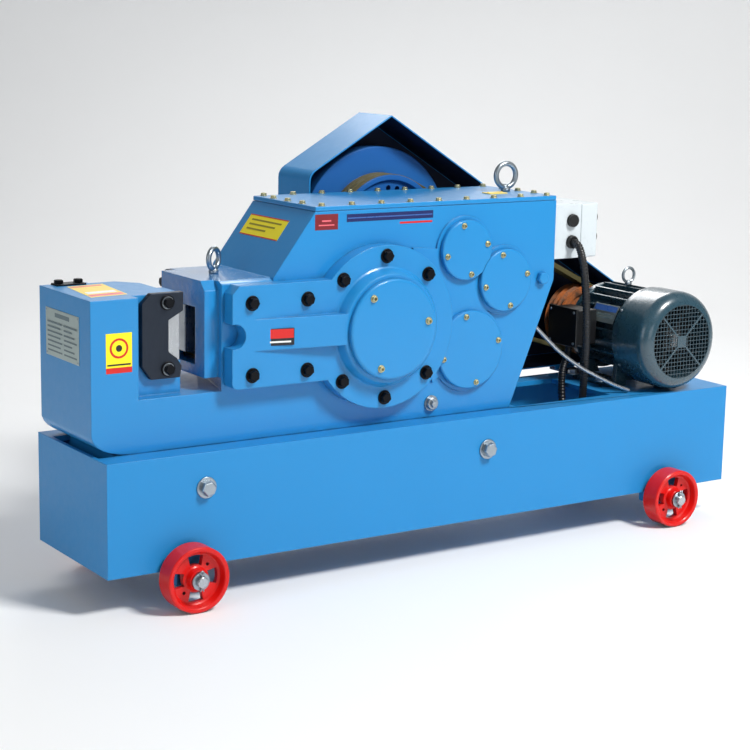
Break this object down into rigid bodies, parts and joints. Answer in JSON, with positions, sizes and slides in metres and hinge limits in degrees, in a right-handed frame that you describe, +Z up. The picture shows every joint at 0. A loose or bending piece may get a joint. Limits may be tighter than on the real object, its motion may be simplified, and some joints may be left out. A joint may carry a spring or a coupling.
{
  "type": "rebar cutter",
  "caption": "Wheeled electric bar shear: box base, cast gear case with crank-driven ram and blades, belt drive with flywheel and guard, finned motor, control box.",
  "frame": {"origin": "middle of the footprint, on the floor under the wheels", "axes": "+X from the shearing head to the motor, +Y from the operator side to the belt guard, +Z up"},
  "size_m": [1.415, 0.478, 0.8196],
  "materials": {
    "casting_blue": "gloss sky-blue enamel over rough casting",
    "wheel_red": "gloss red enamel",
    "bright_steel": "machined steel",
    "dark_steel": "blackened tool steel",
    "gear_steel": "oiled cut steel",
    "bronze": "machined bronze",
    "zinc": "zinc-plated",
    "motor_enamel": "satin blue-grey enamel",
    "rusty_iron": "bare iron with light rust",
    "belt_rubber": "worn olive rubber",
    "black_plastic": "moulded black plastic",
    "white_enamel": "gloss white enamel",
    "green_button": "moulded plastic",
    "red_button": "moulded plastic"
  },
  "bodies": {
    "frame": {"base_frame": "casting_blue", "machine_body": "casting_blue", "gear_case_lid": "casting_blue", "crank_cover": "casting_blue", "crank_end_cap": "casting_blue", "bearing_cap_input": "casting_blue", "bearing_cap_second": "casting_blue", "bearing_cap_third": "casting_blue", "rear_bearing_plate": "casting_blue", "ram_liner": "bronze", "fixed_blade": "bright_steel", "jaw_plate": "dark_steel", "guide_plate": "dark_steel", "crank_bush_front": "bronze", "crank_bush_rear": "bronze", "bearing_input_front": "bright_steel", "bearing_input_rear": "bright_steel", "bearing_second_front": "bright_steel", "bearing_second_rear": "bright_steel", "bearing_third_front": "bright_steel", "bearing_third_rear": "bright_steel", "v_belt_1": "belt_rubber", "v_belt_2": "belt_rubber", "v_belt_3": "belt_rubber", "belt_guard": "casting_blue", "motor_housing": "motor_enamel", "motor_end_shield": "motor_enamel", "motor_stator": "gear_steel", "motor_fan_cover": "motor_enamel", "motor_terminal_box": "motor_enamel", "motor_eyebolt": "zinc", "lid_eyebolt": "zinc", "ram_housing_eyebolt": "zinc", "control_box": "white_enamel", "control_box_lid": "white_enamel", "conduit_gland": "black_plastic", "conduit": "black_plastic", "stay_rod": "zinc", "axle_left": "bright_steel", "axle_right": "bright_steel"},
    "input_train": {"input_shaft": "gear_steel", "flywheel_pulley": "casting_blue"},
    "second_train": {"second_shaft": "gear_steel", "second_gear": "gear_steel"},
    "third_train": {"third_shaft": "gear_steel", "third_gear": "gear_steel"},
    "crank_train": {"crankshaft": "gear_steel", "crank_gear": "gear_steel"},
    "crosshead_block": {"slide_block": "bronze"},
    "ram_set": {"ram": "dark_steel", "moving_blade": "bright_steel"},
    "motor_train": {"motor_rotor": "bright_steel", "motor_fan": "black_plastic", "motor_pulley": "rusty_iron"},
    "wheel_front_left": {"wheel_front_left": "wheel_red"},
    "wheel_rear_left": {"wheel_rear_left": "wheel_red"},
    "wheel_front_right": {"wheel_front_right": "wheel_red"},
    "wheel_rear_right": {"wheel_rear_right": "wheel_red"},
    "start_button": {"start_button": "green_button"},
    "stop_button": {"stop_button": "red_button"}
  },
  "joints": [
    {"name": "input_shaft_turn", "type": "hinge", "parent": "frame", "child": "input_train", "pos_m": [0.05417, -0.02, 0.58369], "axis": [0, 1, 0], "range_deg": [0, 5106.32]},
    {"name": "second_shaft_turn", "type": "hinge", "parent": "frame", "child": "second_train", "pos_m": [0.14776, -0.02, 0.52127], "axis": [0, 1, 0], "continuous": true},
    {"name": "third_shaft_turn", "type": "hinge", "parent": "frame", "child": "third_train", "pos_m": [0.0685, -0.02, 0.39392], "axis": [0, 1, 0], "continuous": true},
    {"name": "crank_turn", "type": "hinge", "parent": "frame", "child": "crank_train", "pos_m": [-0.1385, -0.02, 0.45563], "axis": [0, 1, 0], "continuous": true},
    {"name": "crosshead_block_turn", "type": "hinge", "parent": "crank_train", "child": "crosshead_block", "pos_m": [-0.1165, -0.029, 0.45563], "axis": [0, 1, 0], "continuous": true},
    {"name": "ram_slide", "type": "slide", "parent": "frame", "child": "ram_set", "axis": [-1, 0, 0], "range_m": [0, 0.044]},
    {"name": "motor_rotor_turn", "type": "hinge", "parent": "frame", "child": "motor_train", "pos_m": [0.5695, -0.02, 0.37463], "axis": [0, 1, 0], "continuous": true},
    {"name": "wheel_front_left_turn", "type": "hinge", "parent": "frame", "child": "wheel_front_left", "pos_m": [-0.5525, -0.205, 0.05863], "axis": [0, 1, 0], "continuous": true},
    {"name": "wheel_rear_left_turn", "type": "hinge", "parent": "frame", "child": "wheel_rear_left", "pos_m": [-0.5525, 0.131, 0.05863], "axis": [0, 1, 0], "continuous": true},
    {"name": "wheel_front_right_turn", "type": "hinge", "parent": "frame", "child": "wheel_front_right", "pos_m": [0.5415, -0.205, 0.05863], "axis": [0, 1, 0], "continuous": true},
    {"name": "wheel_rear_right_turn", "type": "hinge", "parent": "frame", "child": "wheel_rear_right", "pos_m": [0.5415, 0.131, 0.05863], "axis": [0, 1, 0], "continuous": true},
    {"name": "start_button_press", "type": "slide", "parent": "frame", "child": "start_button", "axis": [-1, 0, 0], "range_m": [0, 0.004], "stiffness_N_per_m": 400, "springref_m": -0.002},
    {"name": "stop_button_press", "type": "slide", "parent": "frame", "child": "stop_button", "axis": [-1, 0, 0], "range_m": [0, 0.004], "stiffness_N_per_m": 400, "springref_m": -0.002}
  ],
  "couplings": [
    {"joint": "second_shaft_turn", "follows": "input_shaft_turn", "ratio": -0.33929},
    {"joint": "third_shaft_turn", "follows": "input_shaft_turn", "ratio": 0.12338},
    {"joint": "crank_turn", "follows": "input_shaft_turn", "ratio": -0.03525},
    {"joint": "crosshead_block_turn", "follows": "input_shaft_turn", "ratio": 0.03525},
    {"joint": "ram_slide", "follows": "input_shaft_turn", "m_per_rad": 0.00049371},
    {"joint": "motor_rotor_turn", "follows": "input_shaft_turn", "ratio": 1.6}
  ]
}
